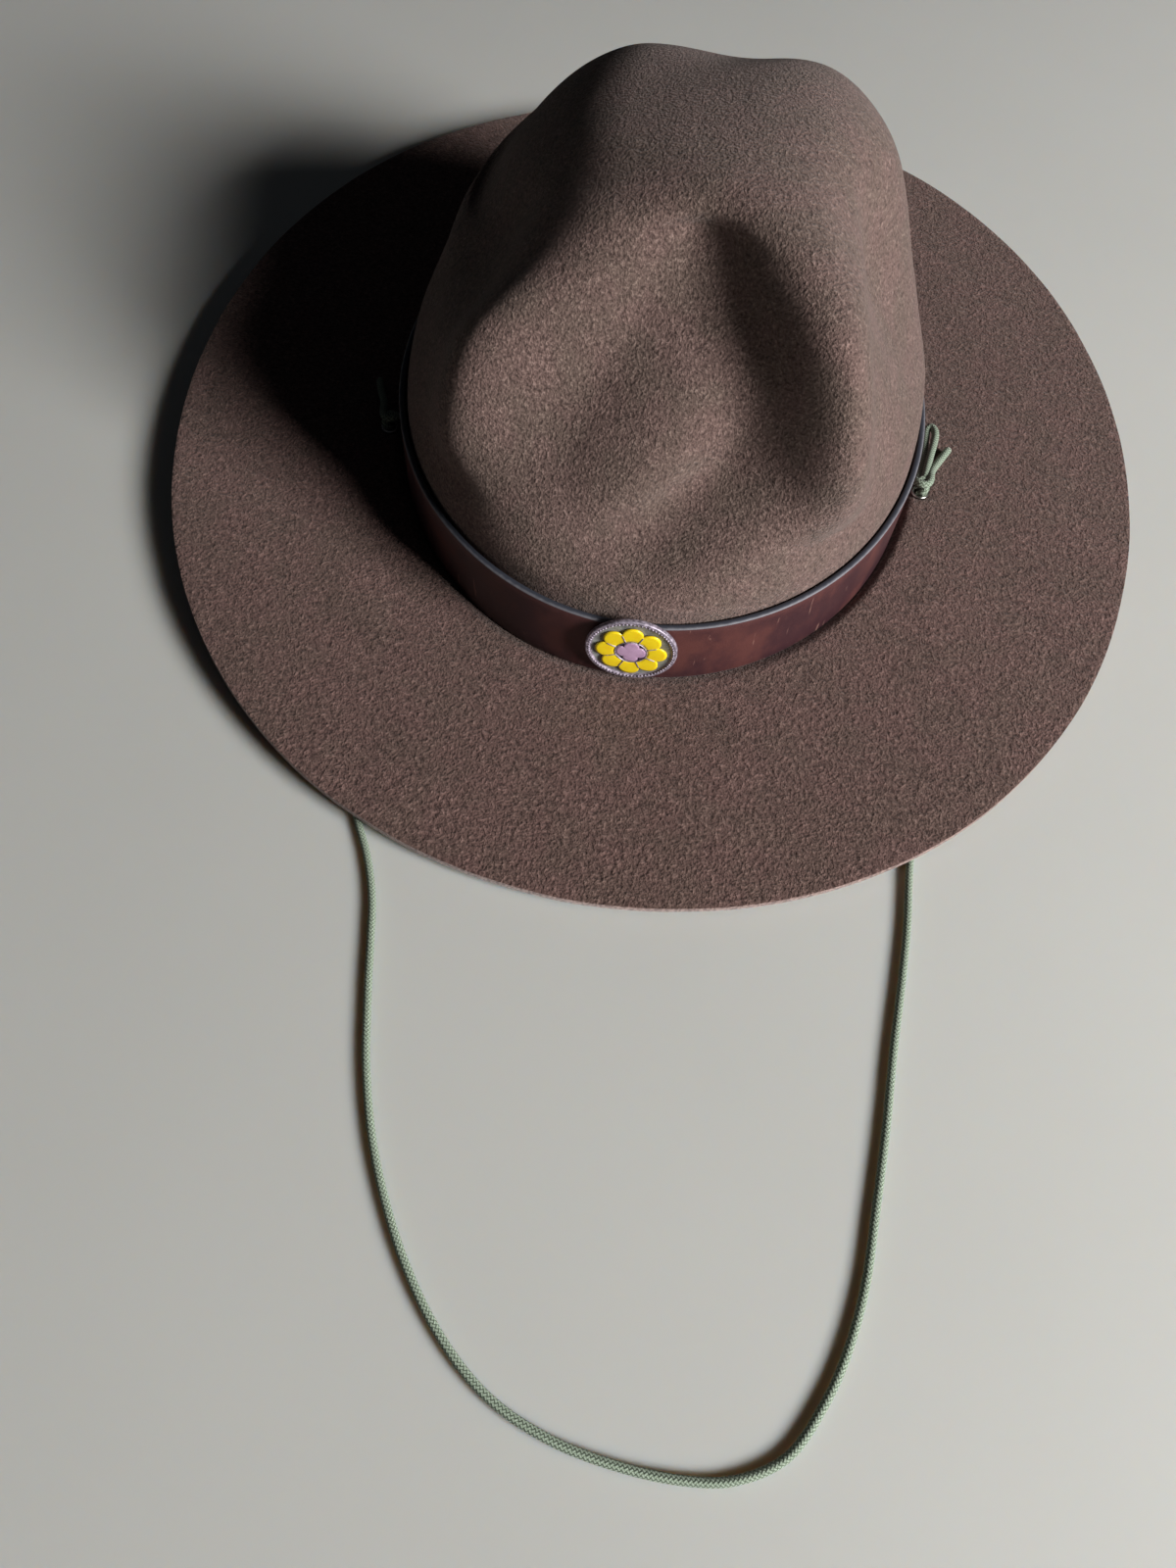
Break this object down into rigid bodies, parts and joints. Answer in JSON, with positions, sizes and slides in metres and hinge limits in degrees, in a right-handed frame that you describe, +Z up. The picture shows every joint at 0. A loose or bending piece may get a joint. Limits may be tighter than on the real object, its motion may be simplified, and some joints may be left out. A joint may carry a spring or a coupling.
{
  "type": "campaign hat",
  "caption": "Stiff felt campaign hat with a pinched crown, a flat wide brim, a leather band with a round badge, and a looped chin cord.",
  "frame": {"origin": "middle of the felt's outline from above, on the surface that the hat rests on", "axes": "-Y is the front of the hat, where the badge is; +X is to the right in a view of the front, which is the wearer's left; +Z is up through the crown"},
  "size_m": [0.327, 0.4982, 0.119],
  "materials": {
    "felt": "brown fur felt, short nap, a little coarser on the brim",
    "band_leather": "dark red-brown harness leather, half gloss, dark grey edges",
    "badge_metal": "aged pewter, beaded rim",
    "yellow_enamel": "bright yellow hard enamel",
    "lilac_enamel": "pale lilac enamel, worn",
    "eyelet_metal": "nickel-plated eyelet",
    "cord": "olive green braided cord, round"
  },
  "bodies": {
    "root": {"felt_body": "felt", "hat_band": "band_leather", "badge_disc": "badge_metal", "badge_petals": "yellow_enamel", "badge_centre": "lilac_enamel", "eyelet_left": "eyelet_metal", "eyelet_right": "eyelet_metal", "knot_left": "cord", "knot_right": "cord", "cord_drop_left": "cord", "cord_drop_right": "cord", "chin_cord": "cord"}
  },
  "joints": []
}
